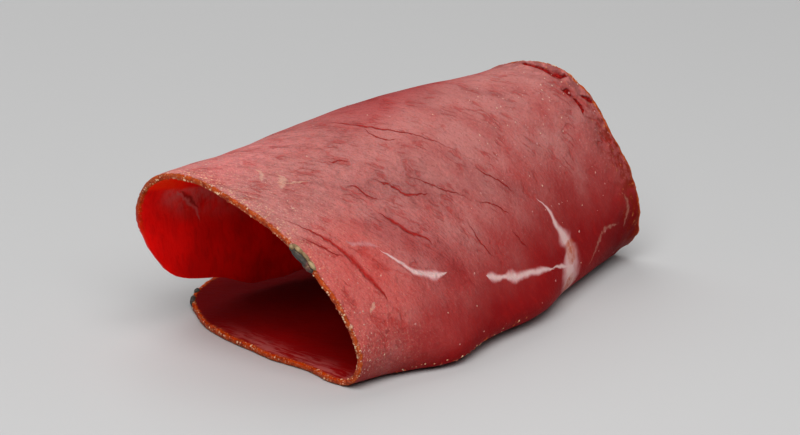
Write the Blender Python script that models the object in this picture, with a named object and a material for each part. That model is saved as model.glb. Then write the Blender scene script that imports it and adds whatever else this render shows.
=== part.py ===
"""Build one thin slice of smoked venison ham, folded over into an open roll.

The slice is an oval sheet with its long side along X. Its left part lies flat. Near the middle it turns
up in a tight fold on the +X side, leans back over a round crown and hangs down onto the flat part. The
roll is open at both ends, along Y. It rests on Z = 0, with the middle of its outline at the origin.
"""

import math

import bmesh
import bpy
from mathutils import Matrix, Vector, noise

# All sizes are in metres and all angles in degrees.

# The flat slice before it is folded. The near side faces -Y and the far side +Y.
THICKNESS = 0.0012
HALF_LENGTH = 0.0750
NEAR_HALF_WIDTH = 0.0402
FAR_HALF_WIDTH = 0.0503
OVAL_POWER = 2.9  # 2 gives an ellipse, more gives squarer ends
WIDTH_DRIFT = -0.105  # how much the half widths change towards the +X end
FAR_WIDTH_FLARE = 0.048  # how much the far one changes towards both ends

# The trimmed edge is slightly ragged, with one step in the near edge of the flat part.
RAGGED_HEIGHT = 0.0006
RAGGED_LENGTH = 0.007
STEP_PLACE = -0.0205
STEP_DEPTH = 0.0011
STEP_RUN = 0.002
STEP_FADE = 0.03

# Every bend runs along straight lines across the slice, at a slant. A line is named by where it lies
# along X at the near gauge line and at the far one, which are this far from the middle.
GAUGE = 0.048
FIRST_BEND_NEAR = -0.0136
FIRST_BEND_FAR = -0.0345
# For each bend in turn: its width at the near gauge line, its width at the far one, and its angle.
BENDS = (
    (0.0109, 0.0109, 88.2),  # the tight fold at the bottom
    (0.0109, 0.0305, 38.5),  # the lower part of the front
    (0.0363, 0.0093, 46.3),  # the upper part of the front
    (0.0334, 0.0203, 86.0),  # the crown
)
BEND_STEP = 7.2

# The whole roll is turned a little about Z and moved so that its outline is centred on the origin.
TURN = -5.6
MOVE_X = 0.04145
MOVE_Y = -0.00364

# After folding, the lower front swells out in places. For each swelling: where its middle lies along Y,
# how far it reaches along Y, how far it stands out, and the height at which it ends.
SWELLINGS = (
    (-0.0051, 0.0328, 0.0080, 0.030),
    (-0.0221, 0.0080, 0.0030, 0.014),
    (0.0089, 0.0090, 0.0025, 0.014),
    (0.0419, 0.0090, -0.0023, 0.014),
)
SWELLING_START_X = 0.004
SWELLING_FULL_X = 0.024

# The crown rises a little, most near this place along Y.
RISE = 0.0021
RISE_MIDDLE = -0.005
RISE_REACH = 0.0181
RISE_FULL_HEIGHT = 0.03

# Soft waves in the part that stands free. They fade out towards the flat part.
WAVE_HEIGHT = 0.0008
WAVE_LENGTH = 0.021
WAVE_FADE_HEIGHT = 0.012

# Mesh fineness, and how close to the oval's two tips the first and the last row lie.
COLUMNS = 26
FLAT_ROWS = 16
FLAP_ROWS = 10
FLAT_TIP_SHARE = 0.992
FLAP_TIP_GAP = 0.0007

# Limits of the searches along a line, in shares of the gauge, and how often a search is halved.
SEARCH_LIMIT = 1.3
SEARCH_PLACES = 130
HALVINGS = 30

# Bits of dark pepper crust stuck on the near edge: place along the flat slice, length and width.
CRUST_BITS = (
    (-0.0690, 0.0030, 0.0016),
    (-0.0655, 0.0024, 0.0014),
    (0.0125, 0.0026, 0.0017),
    (0.0150, 0.0034, 0.0019),
    (0.0179, 0.0030, 0.0015),
)
CRUST_HEIGHT = 0.0018

# Points this close to the table, or below it, are brought down or up to it.
BED_TOLERANCE = 0.00005

MEAT_COLOUR = (0.33, 0.075, 0.07, 1.0)
MEAT_ROUGHNESS = 0.55
SHARP_EDGE_ANGLE = 50


def clear_scene():
    for thing in list(bpy.data.objects):
        bpy.data.objects.remove(thing)


def half_width(along, side):
    """Half width of the oval on one side, where along runs from -1 to 1 over the slice's length."""
    if side < 0:
        return NEAR_HALF_WIDTH * (1 + WIDTH_DRIFT * along)
    return FAR_HALF_WIDTH * (1 + WIDTH_DRIFT * along + FAR_WIDTH_FLARE * along**2)


def oval_level(point):
    """Below 1 inside the oval, 1 on its outline and more outside it."""
    along = point.x / HALF_LENGTH
    across = point.y / half_width(along, point.y)
    return abs(along) ** OVAL_POWER + abs(across) ** OVAL_POWER


def line_point(line, across):
    """Point of a slanted line, where across runs from -1 at the near gauge line to 1 at the far one."""
    near, far = line
    return Vector(((near + far) / 2 + (far - near) / 2 * across, GAUGE * across, 0))


def deepest_place(line):
    """The place along a line that lies deepest in the oval."""
    places = [SEARCH_LIMIT * (2 * step / SEARCH_PLACES - 1) for step in range(SEARCH_PLACES + 1)]
    return min(places, key=lambda place: oval_level(line_point(line, place)))


def outline_place(line, inside, outside):
    """The place along a line where it crosses the oval's outline, found by halving."""
    for _ in range(HALVINGS):
        middle = (inside + outside) / 2
        if oval_level(line_point(line, middle)) < 1:
            inside = middle
        else:
            outside = middle
    return inside


def ragged_edge(point, side):
    """How far the trimmed edge lies outside the smooth oval at one point of it."""
    offset = RAGGED_HEIGHT * noise.noise(Vector((point.x / RAGGED_LENGTH, 5 * side, 0)))
    if side < 0 and point.x < STEP_PLACE + STEP_RUN:
        into_step = min(1, (STEP_PLACE + STEP_RUN - point.x) / STEP_RUN)
        past_step = min(1, max(0, STEP_PLACE - point.x) / STEP_FADE)
        offset -= STEP_DEPTH * into_step * (1 - past_step)
    return offset


def bend_lines():
    """Fold lines of all bends in order, each with the angle it turns by, and the line after the last."""
    creases = []
    near, far = FIRST_BEND_NEAR, FIRST_BEND_FAR
    for near_width, far_width, angle in BENDS:
        count = round(angle / BEND_STEP)
        for step in range(count):
            share = (step + 0.5) / count
            creases.append(((near + near_width * share, far + far_width * share), angle / count))
        near += near_width
        far += far_width
    return creases, (near, far)


def row_lines():
    """Lines of all rows of the mesh, from the end that lies flat to the end of the flap."""
    creases, flap_start = bend_lines()
    rows = []
    tip = -HALF_LENGTH * FLAT_TIP_SHARE
    for row in range(FLAT_ROWS):
        share = math.cos(row / FLAT_ROWS * math.pi / 2)
        near = FIRST_BEND_NEAR + (tip - FIRST_BEND_NEAR) * share
        far = FIRST_BEND_FAR + (tip - FIRST_BEND_FAR) * share
        rows.append((near, far))
    rows += [line for line, _ in creases]
    reach = flap_reach(flap_start) - FLAP_TIP_GAP
    for row in range(FLAP_ROWS + 1):
        shift = reach * math.sin(row / FLAP_ROWS * math.pi / 2)
        rows.append((flap_start[0] + shift, flap_start[1] + shift))
    return rows


def flap_reach(start):
    """How far a line can shift along X from the flap's start before it leaves the oval."""
    inside, outside = 0, HALF_LENGTH
    for _ in range(HALVINGS):
        middle = (inside + outside) / 2
        line = (start[0] + middle, start[1] + middle)
        if oval_level(line_point(line, deepest_place(line))) < 1:
            inside = middle
        else:
            outside = middle
    return inside


def flat_row(line):
    """Points of one row of the flat slice, from its near edge to its far edge."""
    deepest = deepest_place(line)
    near_place = outline_place(line, deepest, -SEARCH_LIMIT)
    far_place = outline_place(line, deepest, SEARCH_LIMIT)
    near_point = line_point(line, near_place)
    far_point = line_point(line, far_place)
    near_place -= ragged_edge(near_point, -1) / GAUGE
    far_place += ragged_edge(far_point, 1) / GAUGE
    shares = [column / COLUMNS for column in range(COLUMNS + 1)]
    return [line_point(line, near_place + (far_place - near_place) * share) for share in shares]


def flat_slice():
    """A grid laid out as the flat slice, with its vertices listed row by row."""
    rows = row_lines()
    bm = bmesh.new()
    bmesh.ops.create_grid(bm, x_segments=COLUMNS, y_segments=len(rows) - 1, size=1)
    corners = sorted(bm.verts, key=lambda vertex: (round(vertex.co.y, 4), round(vertex.co.x, 4)))
    grid = []
    for number, line in enumerate(rows):
        row = corners[number * (COLUMNS + 1) : (number + 1) * (COLUMNS + 1)]
        for vertex, point in zip(row, flat_row(line)):
            vertex.co = point
        grid.append(row)
    bmesh.ops.recalc_face_normals(bm, faces=bm.faces)
    if sum(face.normal.z for face in bm.faces) < 0:
        bmesh.ops.reverse_faces(bm, faces=bm.faces)
    return bm, grid


def fold(bm):
    """Turn the sheet up about each fold line in turn, from the last one back to the first."""
    flat = {vertex: vertex.co.copy() for vertex in bm.verts}
    creases, _ = bend_lines()
    for line, angle in reversed(creases):
        start = line_point(line, -1)
        direction = (line_point(line, 1) - start).normalized()
        beyond = [vertex for vertex, place in flat.items() if direction.cross(place - start).z < 0]
        turn = Matrix.Rotation(-math.radians(angle), 3, direction)
        bmesh.ops.rotate(bm, cent=start, matrix=turn, verts=beyond)


def clamp(value):
    return min(1, max(0, value))


def hump(value, middle, reach):
    """A smooth hump, 1 at its middle and falling away on both sides."""
    return math.exp(-(((value - middle) / reach) ** 2))


def settle(bm):
    """Turn the roll and move it into place, then add its swellings and its soft waves."""
    bmesh.ops.rotate(bm, cent=(0, 0, 0), matrix=Matrix.Rotation(math.radians(TURN), 3, "Z"), verts=bm.verts)
    bmesh.ops.translate(bm, vec=(MOVE_X, MOVE_Y, 0), verts=bm.verts)
    for vertex in bm.verts:
        place = vertex.co
        outward = clamp((place.x - SWELLING_START_X) / (SWELLING_FULL_X - SWELLING_START_X))
        for middle, reach, size, top in SWELLINGS:
            place.x += size * hump(place.y, middle, reach) * outward * clamp(1 - place.z / top)
        place.z += RISE * hump(place.y, RISE_MIDDLE, RISE_REACH) * clamp(place.z / RISE_FULL_HEIGHT) ** 2
    bm.normal_update()
    for vertex in bm.verts:
        wave = noise.noise(vertex.co / WAVE_LENGTH) * clamp(vertex.co.z / WAVE_FADE_HEIGHT) ** 2
        vertex.co += vertex.normal * WAVE_HEIGHT * wave


def new_object(name, bm):
    mesh = bpy.data.meshes.new(name)
    bm.to_mesh(mesh)
    bm.free()
    obj = bpy.data.objects.new(name, mesh)
    bpy.context.scene.collection.objects.link(obj)
    return obj


def edge_place(grid, along):
    """Place and direction of the folded near edge, halfway through it, at a length along the flat slice."""
    edges = [flat_row(line)[0].x for line in row_lines()]
    number = max(row for row, edge in enumerate(edges) if edge < along)
    share = (along - edges[number]) / (edges[number + 1] - edges[number])
    before, after = grid[number][0], grid[number + 1][0]
    middle = before.co.lerp(after.co, share) + before.normal * THICKNESS / 2
    return middle, (after.co - before.co).normalized()


def crust_bit(place, direction, length, width):
    """A lump of peppery crust, longest along the edge that it sticks to."""
    bm = bmesh.new()
    bmesh.ops.create_icosphere(bm, subdivisions=1, radius=0.5)
    bmesh.ops.scale(bm, vec=(length, width, CRUST_HEIGHT), verts=bm.verts)
    bmesh.ops.rotate(bm, cent=(0, 0, 0), matrix=direction.to_track_quat("X", "Z").to_matrix(), verts=bm.verts)
    bmesh.ops.translate(bm, vec=place, verts=bm.verts)
    return new_object("crust_bit", bm)


def apply_modifiers(obj):
    """Replace an object's mesh by the one its modifiers make."""
    graph = bpy.context.evaluated_depsgraph_get()
    finished = bpy.data.meshes.new_from_object(obj.evaluated_get(graph))
    obj.modifiers.clear()
    obj.data = finished


def thicken(obj):
    """Give the sheet its thickness on the inner side of the roll, which is the upper side of the flat part."""
    solidify = obj.modifiers.new("thickness", "SOLIDIFY")
    solidify.thickness = THICKNESS
    solidify.offset = 1
    solidify.use_even_offset = True
    solidify.use_rim = True
    apply_modifiers(obj)


def fuse(obj, bits):
    """Join the crust bits to the slice as one solid, and remove their own objects."""
    toppings = bpy.data.collections.new("crust_bits")
    for bit in bits:
        toppings.objects.link(bit)
    union = obj.modifiers.new("crust", "BOOLEAN")
    union.operation = "UNION"
    union.operand_type = "COLLECTION"
    union.collection = toppings
    union.solver = "EXACT"
    apply_modifiers(obj)
    for bit in bits:
        bpy.data.objects.remove(bit)
    bpy.data.collections.remove(toppings)


def lay_flat(obj):
    """Bring the underside that rests on the table exactly to Z = 0."""
    for vertex in obj.data.vertices:
        if vertex.co.z < BED_TOLERANCE:
            vertex.co.z = 0


def meat_material():
    material = bpy.data.materials.new("venison_ham")
    material.use_nodes = True
    shader = material.node_tree.nodes["Principled BSDF"]
    shader.inputs["Base Color"].default_value = MEAT_COLOUR
    shader.inputs["Roughness"].default_value = MEAT_ROUGHNESS
    shader.inputs["Metallic"].default_value = 0
    return material


def venison_ham_slice():
    bm, grid = flat_slice()
    fold(bm)
    settle(bm)
    bits = [crust_bit(*edge_place(grid, along), length, width) for along, length, width in CRUST_BITS]
    slice_object = new_object("venison_ham_slice", bm)
    thicken(slice_object)
    fuse(slice_object, bits)
    lay_flat(slice_object)
    slice_object.data.materials.clear()
    slice_object.data.materials.append(meat_material())
    slice_object.data.shade_smooth()
    slice_object.data.set_sharp_from_angle(angle=math.radians(SHARP_EDGE_ANGLE))
    return slice_object


def main():
    clear_scene()
    venison_ham_slice()


main()
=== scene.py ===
"""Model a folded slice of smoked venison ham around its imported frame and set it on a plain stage.

The slice starts as a flat oval grid. It is folded line by line into an open roll, swollen and waved like
the frame's solid, thickened and roughened. Pepper crust, rind crumbs and pale specks are pieces of their own.
"""

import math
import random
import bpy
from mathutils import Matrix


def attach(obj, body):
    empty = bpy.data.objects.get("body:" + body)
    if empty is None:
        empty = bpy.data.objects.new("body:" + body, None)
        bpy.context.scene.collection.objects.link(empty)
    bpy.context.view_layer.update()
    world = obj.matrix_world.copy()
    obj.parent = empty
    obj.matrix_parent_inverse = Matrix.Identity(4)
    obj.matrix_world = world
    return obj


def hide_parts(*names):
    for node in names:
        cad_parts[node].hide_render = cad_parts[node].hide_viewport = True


bl_info = {
    "name": "Folded Venison Ham Slice",
    "version": (1, 0, 0),
    "blender": (4, 5, 0),
    "location": "View3D > Sidebar > Ham",
    "description": "Adds a thin slice of smoked venison ham, folded over into an open roll",
    "category": "Add Mesh",
}

import bmesh
import bpy
from bpy.props import FloatProperty, FloatVectorProperty, IntProperty, PointerProperty
from mathutils import Matrix, Vector, kdtree, noise

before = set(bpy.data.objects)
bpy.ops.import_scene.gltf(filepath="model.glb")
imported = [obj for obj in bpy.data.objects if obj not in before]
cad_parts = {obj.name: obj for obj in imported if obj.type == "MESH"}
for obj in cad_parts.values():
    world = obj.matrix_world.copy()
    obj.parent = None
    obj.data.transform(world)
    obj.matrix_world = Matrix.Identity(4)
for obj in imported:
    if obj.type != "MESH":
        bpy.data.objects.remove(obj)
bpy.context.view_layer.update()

# Names of the pieces.
SLICE = "ham_slice"
PEPPER_CRUST = "pepper_crust"
PEPPER_HUSKS = "pepper_husks"
RIND_CRUMBS = "rind_crumbs"
PALE_SPECKS = "pale_specks"
FLOOR = "table_top"

# The flat slice, in metres. These are the frame's own values.
HALF_LENGTH = 0.0750
NEAR_HALF_WIDTH = 0.0402
FAR_HALF_WIDTH = 0.0503
OVAL_POWER = 2.9
WIDTH_DRIFT = -0.105
FAR_WIDTH_FLARE = 0.048
RAGGED_HEIGHT = 0.0006
RAGGED_LENGTH = 0.007
STEP_PLACE = -0.0205
STEP_DEPTH = 0.0011
STEP_RUN = 0.002
STEP_FADE = 0.03

# The bends. A line across the slice is named by where it lies along X at the near gauge line and at the
# far one. Each bend has a width at both and an angle in degrees.
GAUGE = 0.048
FIRST_BEND_NEAR = -0.0136
FIRST_BEND_FAR = -0.0345
BENDS = (
    (0.0109, 0.0109, 88.2),
    (0.0109, 0.0305, 38.5),
    (0.0363, 0.0093, 46.3),
    (0.0334, 0.0203, 86.0),
)

# The place of the folded roll, its swellings along Y, and the rise of its crown. Each swelling has a middle,
# a reach, how far it comes out and the height at which it ends.
TURN = -5.6
MOVE_X = 0.04145
MOVE_Y = -0.00364
SWELLINGS = (
    (-0.0051, 0.0328, 0.0080, 0.030),
    (-0.0221, 0.0080, 0.0030, 0.014),
    (0.0089, 0.0090, 0.0025, 0.014),
    (0.0419, 0.0090, -0.0023, 0.014),
)
SWELLING_START_X = 0.004
SWELLING_FULL_X = 0.024
RISE = 0.0021
RISE_MIDDLE = -0.005
RISE_REACH = 0.0181
RISE_FULL_HEIGHT = 0.03
WAVE_LENGTH = 0.021
WAVE_FADE_HEIGHT = 0.012

# The flap's free end hangs in waves: where each is across the flat slice, its reach and how far it hangs, and
# between which places along the slice the waves grow. The depths are in metres, the rest in millimetres.
FLAP_WAVES = (
    (-13.0, 8.0, 0.0017),
    (1.0, 3.0, -0.0003),
    (8.0, 3.0, 0.0009),
)
FLAP_WAVES_FROM = 58
FLAP_WAVES_FULL = 74
# The far end flares out round its top, near a place on the flat slice in millimetres. It lifts off at its
# lower front and is tucked in at its foot.
FLARE = 0.0007
FLARE_ACROSS = 50
FLARE_ACROSS_REACH = 8
FLARE_ALONG = 8
FLARE_ALONG_REACH = 18
FAR_END = 0.0508
LIFT = 0.0025
LIFT_REACH = 0.0068
LIFT_TOP = 0.016
LIFT_START_X = 0.006
LIFT_FULL_X = 0.018
TUCK = 0.0006
TUCK_START_Y = 0.042
TUCK_TOP = 0.014
# The lower front bulges a little further out along this stretch.
LIP = 0.0011
LIP_MIDDLE = -0.019
LIP_REACH = 0.009

# Fineness of the grid.
COLUMNS = 64
EDGE_FINENESS = 0.6  # 0 spaces the columns evenly, nearly 1 crowds them at both edges
FLAT_ROWS = 40
FLAP_ROWS = 14
BEND_ROW_SPACING = 0.00125
BEND_STEP = 5
FLAT_TIP_SHARE = 0.992
FLAP_TIP_GAP = 0.0007

# Limits of the searches along a line, in shares of the gauge, and how often a search is halved.
SEARCH_LIMIT = 1.3
SEARCH_PLACES = 130
HALVINGS = 30

# Attributes that the materials read: the place on the flat slice and the distance from the trimmed edge, both
# in millimetres, and the depth in the slice, which runs from 0 on its outer face to 1 on its inner face.
FLAT_PLACE = "flat_place"
RIM_DISTANCE = "rim_distance"
DEPTH = "depth"
MILLIMETRES = 1000
RIM_SAMPLES = 6

# Moves smaller than this are left out.
TINY = 1e-7

# The meat's fibres lie at this angle to the slice's length on its outer and its inner face, in degrees.
FIBRE_SLANT = -28
INNER_FIBRE_SLANT = 36

# The outer face is multiplied by these: painted shade in small blotches and on the crown,
# and painted light at the crown's near end.
SHADE = (0.62, 0.62, 0.62)
CROWN_SHADE = (0.82, 0.46, 0.49)
CROWN_LIGHT = (1.24, 1.08, 1.12)

# Light that enters the meat comes out again nearby, the red furthest.
OUTER_GLOW = {
    "Subsurface Weight": 0.3,
    "Subsurface Radius": (1.0, 0.14, 0.09),
    "Subsurface Scale": 0.0022,
    "Specular IOR Level": 0.008,
}
INNER_GLOW = {
    "Subsurface Weight": 0.85,
    "Subsurface Radius": (1.0, 0.03, 0.02),
    "Subsurface Scale": 0.003,
    "Specular IOR Level": 0.006,
}
RIND_GLOW = {
    "Subsurface Weight": 0.25,
    "Subsurface Radius": (1.0, 0.3, 0.1),
    "Subsurface Scale": 0.0015,
    "Specular IOR Level": 0.15,
}
CRUMB_GLOW = {
    "Subsurface Weight": 0.2,
    "Subsurface Radius": (1.0, 0.6, 0.3),
    "Subsurface Scale": 0.0006,
}

# Streaks on the two faces of the slice, on the inner one where the name says so. Each point is a place on the
# flat slice and half the streak's width there, all in millimetres.
CRACKS = (
    ((32.5, -1.5, 0.1), (30, -1, 0.3), (26.5, 0, 0.35), (22.5, 2, 0.35), (19.5, 4, 0.2), (15, 7, 0.1)),
    ((26, -1, 0.1), (23, -1.5, 0.3), (20.5, 0.5, 0.1)),
    ((26.5, -14, 0.1), (25.5, -13, 0.25), (24, -11.5, 0.1)),
    ((17.5, -11, 0.1), (15, -9.5, 0.3), (12, -8.5, 0.45), (11, -6.5, 0.3), (10, -5, 0.1)),
    ((20.5, -17, 0.1), (19.5, -15.5, 0.3), (17.5, -15.5, 0.3), (15.5, -14.5, 0.1)),
    ((13, -16.5, 0.1), (10.5, -15.5, 0.6), (7, -14, 0.45), (5.5, -12.5, 0.3), (4, -12, 0.1)),
    ((12.5, -4, 0.1), (10, -2, 0.2), (8, 0, 0.2), (5.5, 3, 0.05)),
    (
        (22.5, -34.5, 0.1), (16.5, -32, 0.4), (12.5, -30.5, 0.8), (9, -30, 1.1), (5.5, -29.5, 0.9),
        (1.5, -29, 0.1),
    ),
    ((18.5, -35.5, 0.1), (16.5, -34.5, 0.25), (13, -32.5, 0.1)),
    ((7.5, 10.5, 0.05), (5, 12.5, 0.2), (4, 13.5, 0.2), (2, 14.5, 0.2), (0.5, 15, 0.05)),
    ((3, 5.5, 0.05), (1, 8.5, 0.15), (-1.5, 10.5, 0.05)),
    ((2, -1, 0.05), (-2, -1, 0.2), (-4.5, 0, 0.05)),
    ((-4, 8.5, 0.05), (-6, 9.5, 0.2), (-8, 10.5, 0.05)),
)
GASHES = (
    ((19, 46.5, 0.1), (17.5, 46.5, 0.8), (14.5, 46.5, 0.9), (11, 47, 1.1), (10, 48.5, 0.1)),
    ((9, 44.5, 0.1), (8.5, 45, 0.6), (7.5, 45.5, 0.8), (6.5, 46, 0.1)),
    ((6.5, 45.5, 0.1), (4.5, 46, 0.5), (2.5, 45.5, 0.1)),
    ((6, 47.5, 0.1), (4.5, 48.5, 0.5), (3, 49.5, 0.1)),
)
FAT_STREAKS = (
    (
        (8.5, -23, 0.1), (6.5, -22, 0.5), (4.5, -21, 0.6), (2.5, -20, 0.8), (1, -18, 1), (0, -16.5, 1.3),
        (-0.5, -15, 0.8), (-1, -13.3, 0.1),
    ),
    (
        (-5.8, -4.6, 0.1), (-6.5, -3.5, 1.2), (-7.5, -1.5, 0.9), (-8, 0, 0.6), (-9, 2, 1.5), (-10, 4.5, 1.2),
        (-11, 8, 0.8), (-12, 11, 0.9), (-13.5, 14.5, 0.4),
    ),
    ((-14, 16, 0.1), (-15, 18.5, 0.5), (-16.5, 21, 0.7), (-17, 22, 0.1)),
    (
        (-4, 21, 0.3), (-5.5, 22, 0.6), (-7, 22.5, 0.8), (-8.5, 22.5, 1.1), (-10.6, 23.3, 1.7),
        (-12.3, 23.9, 3.4), (-13.9, 24.4, 2.4), (-15.6, 23.6, 5.2), (-18, 22.6, 6.2), (-21, 22.5, 5.6),
        (-24, 22.5, 2),
    ),
)
VEINS = (
    ((13.5, -28, 0.1), (12.5, -27.5, 0.7), (12, -26.5, 0.6), (11, -24.5, 0.8), (9.5, -23, 0.1)),
)
SMOKED_FAT = (
    ((-13, 24.6, 0.1), (-13.3, 24.7, 1.6), (-15, 24.5, 3), (-16.8, 24.3, 2.8), (-17.7, 24.2, 0.1)),
    ((-18.8, 20.8, 0.1), (-19.2, 21.2, 2.4), (-20.8, 21.6, 4), (-23, 22, 3.6), (-24, 22, 0.5)),
)
DRY_MARKS = (
    ((31.5, -24, 0.1), (30, -24.5, 1.2), (29.5, -25.5, 1.6), (29, -26.5, 0.9), (28.5, -27.5, 0.1)),
    ((35.5, -25, 0.1), (34, -25.5, 0.8), (33, -27, 0.6), (32.5, -28, 0.1)),
    ((29.5, -26, 0.1), (28.5, -25, 0.5), (27.5, -23.5, 0.4), (26.5, -22, 0.1)),
    ((2.5, -32, 0.1), (2, -33, 0.7), (1.5, -34, 0.1)),
)
TAN_MARKS = (
    ((-14, 46, 0.1), (-16, 47, 1.1), (-18.5, 47, 1.3), (-20, 46, 1), (-21.5, 45.5, 0.1)),
    (
        (-19.3, 43.5, 0.1), (-18.6, 41, 0.8), (-18, 39, 1.2), (-18.5, 36.5, 1.1), (-20, 34, 0.9),
        (-21.5, 31, 0.1),
    ),
)
DUSKY_BANDS = (
    ((24, -20, 1), (16, -10, 4.5), (9, -1, 7), (4, 10, 6), (-2, 20, 1)),
    ((40, 4, 1), (32, 14, 9), (24, 22, 8), (16, 31, 1)),
    ((16, 43, 1), (4, 44.5, 5), (-6, 45.5, 7), (-16, 46, 3)),
)
INNER_VEINS = (
    ((58.3, -19.9, 0.1), (59.4, -17, 0.5), (60.9, -14.2, 0.6), (62.2, -11.9, 0.5), (64, -10.4, 0.1)),
)
# The inner creases are drawn only as painted shade.
INNER_CREASES = (
    ((58.2, -18.6, 0.1), (59.2, -16.2, 0.7), (60.4, -13.6, 0.6), (61.6, -11.8, 0.1)),
)
TORN_BANDS = (
    ((10.8, 44.6, 0.3), (8.8, 45.4, 1.8), (5.5, 46.4, 2), (2.5, 47.4, 1.4), (0.5, 48.5, 0.3)),
)
SHADED_BANDS = (
    ((15, -23, 1), (9, -17, 7), (3, -13, 8), (-5, -9, 1)),
)
# For each kind of mark: its streaks, how much the pores break it, between which values it comes out, and how
# strong it is.
MARKS = (
    (DRY_MARKS, 0.9, 0.1, 1.0, 0.6),
    (TAN_MARKS, 2.5, 0.4, 1.3, 0.33),
)
# A streak wanders less than half of this to either side of the line between its ends, in millimetres.
STREAK_SPAN = 24
STREAK_LEAST_WIDTH = 0.00001

# Unevenness of the surface. Heights are in metres and lengths in millimetres. Each kind of lump on the rind
# has a height and a length, and the rind shrinks a little and is lumpy over this many of its widths.
GRAIN_LENGTH = 5.5
RIND_LUMPS = ((0.00013, 1.1), (0.00009, 0.55))
RIND_SHRINKAGE = 0.00006
RIND_LUMPS_REACH = 1.6
FAR_LUMPS = 0.00025
FAR_LUMPS_LENGTH = 2.3
FAR_LUMPS_FROM = 40
FAR_LUMPS_RUN = 6
# The gashes lie within reach of one flat place. Their dents and lips are placed in half widths of the gash.
GASHES_MIDDLE = (10.5, 47.0)
GASHES_REACH = 11.0
GASH_DEPTH = 0.00045
GASH_EDGE = 1.1
GASH_LIP = 0.00022
GASH_LIP_PLACE = 1.5
GASH_LIP_REACH = 0.5

# Flakes of charred pepper crust and their husks on the near edge. Each is a place along the flat slice and
# how far it lies towards the outer face, in millimetres, then its length, thickness and width in metres.
PEPPER_FLAKES = (
    (-69.0, 0.3, 0.0024, 0.0010, 0.0015),
    (-66.0, 0.3, 0.0040, 0.0010, 0.0017),
    (14.6, 0.0, 0.0034, 0.0010, 0.0014),
    (16.9, 0.0, 0.0042, 0.0010, 0.0015),
)
HUSKS = (
    (14.0, 0.9, 0.0022, 0.0010, 0.0007),
    (15.9, 1.0, 0.0026, 0.0009, 0.0006),
    (17.8, 0.9, 0.0026, 0.0010, 0.0007),
    (19.0, 0.3, 0.0013, 0.0010, 0.0009),
)
FLAKE_PROUD = 0.25  # the share of its thickness by which a flake stands off the rim
FLAKE_SEED = 20
HUSK_SEED = 40
# The rim's middle is taken from so many vertices within a distance of the edge, and its direction from two
# places that lie this far to either side, in millimetres.
EDGE_NEIGHBOURS = 6
RIM_TOLERANCE = 0.05
EDGE_STEP = 1.2

# A grain is 1 across before it is scaled. The roughness is the share of the radius by which it is uneven.
GRAIN_RADIUS = 0.5
GRAIN_FINENESS = 2
FLAKE_FINENESS = 3
CRUMB_ROUGHNESS = 0.28
SPECK_ROUGHNESS = 0.22
FLAKE_ROUGHNESS = 0.14
# Smallest, largest and most usual width, as shares of the one in the sizes, and length and height in widths.
GRAIN_WIDTHS = (0.3, 1.3, 0.5)
CRUMB_LENGTHS = (0.8, 1.5)
CRUMB_HEIGHTS = (0.5, 0.9)
SPECK_LENGTHS = (0.8, 1.6)
SPECK_HEIGHT = 0.45
# Seeds of the sample grains that crumbs and specks are copied from.
CRUMB_SAMPLES = range(1, 5)
SPECK_SAMPLES = range(5, 8)

# Crumbs lie within this distance of the edge, and the rind fades out along the flap, both in millimetres.
CRUMB_SEED = 3
RIND_REACH = 0.5
RIND_FADES_FROM = 60
RIND_FADES_TO = 70
# More crumbs sit on the inner border of the near rim, and low on the front of the roll within reach of a line
# between two flat places: how many, their least and most width, and their length and height in widths.
INNER_DEPTH = 0.4
INNER_CRUMBS = 150
INNER_CRUMB_SIZES = (0.4, 1.2, 1.2, 0.8)
LOW_LINE = ((-13.2, -30.0), (-18.4, 3.0))
LOW_LINE_REACH = 0.9
LOW_CRUMBS = 40
LOW_CRUMB_SIZES = (0.4, 1.1, 1.3, 0.8)

# Specks keep off the foot of the roll. They crowd within about these distances of the near edge and of one
# flat place, in millimetres. The last two are the chances that a speck stays on plain and on crowded meat.
SPECK_SEED = 11
SPECK_LOWEST = 0.003
SPECK_CROWDING = 4.0
SPECK_CLUSTER = (4.5, 30.5)
SPECK_CLUSTER_REACH = 12.0
SPECK_CHANCE = 0.05
SPECK_CROWDED_CHANCE = 0.6

# Slots of the slice's materials.
INNER_SLOT = 0
OUTER_SLOT = 1
RIM_SLOT = 2

# The stage: a floor just below the slice, square lights that face the origin, light from all round, a camera.
FLOOR_SIZE = 6
FLOOR_DROP = 0.00005
FLOOR_COLOUR = (0.52, 0.52, 0.52)
FLOOR_ROUGHNESS = 0.7
LIGHTS = (
    ("key_light", (0.55, -0.55, 0.90), 16.5),
    ("side_light", (-0.55, 0.20, 0.80), 3.5),
)
LIGHT_SIZE = 0.9
WORLD_LIGHT = 0.15
EYE = (0.6404, -0.7136, 0.3093)
AIM = (0.002, -0.001, 0.017)
LENS = 244
SENSOR_WIDTH = 36


def length_property(name, description, default, least=0):
    return FloatProperty(name=name, description=description, default=default, min=least, unit="LENGTH")


class HamSizes(bpy.types.PropertyGroup):
    thickness: length_property("Thickness", "Thickness of the cut slice", 0.0012, 0.0004)
    wave_height: length_property("Waves", "Height of the soft waves in the roll", 0.0008)
    grain_height: length_property("Grain", "Height of the uneven surface", 0.00012)
    rind_width: length_property("Rind", "Width of the crumbly rind along the edge", 0.0011)
    crumb_size: length_property("Crumb", "Width of a crumb on the rind", 0.0004)
    crumb_count: IntProperty(name="Crumbs", description="Number of crumbs on the rind", default=620, min=1)
    speck_size: length_property("Speck", "Width of a pale speck on the meat", 0.00034)
    speck_count: IntProperty(name="Specks", description="Number of pale specks", default=340, min=1)


def colour_property(name, description, default):
    return FloatVectorProperty(
        name=name, description=description, default=default, subtype="COLOR", min=0, max=1, size=3
    )


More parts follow.
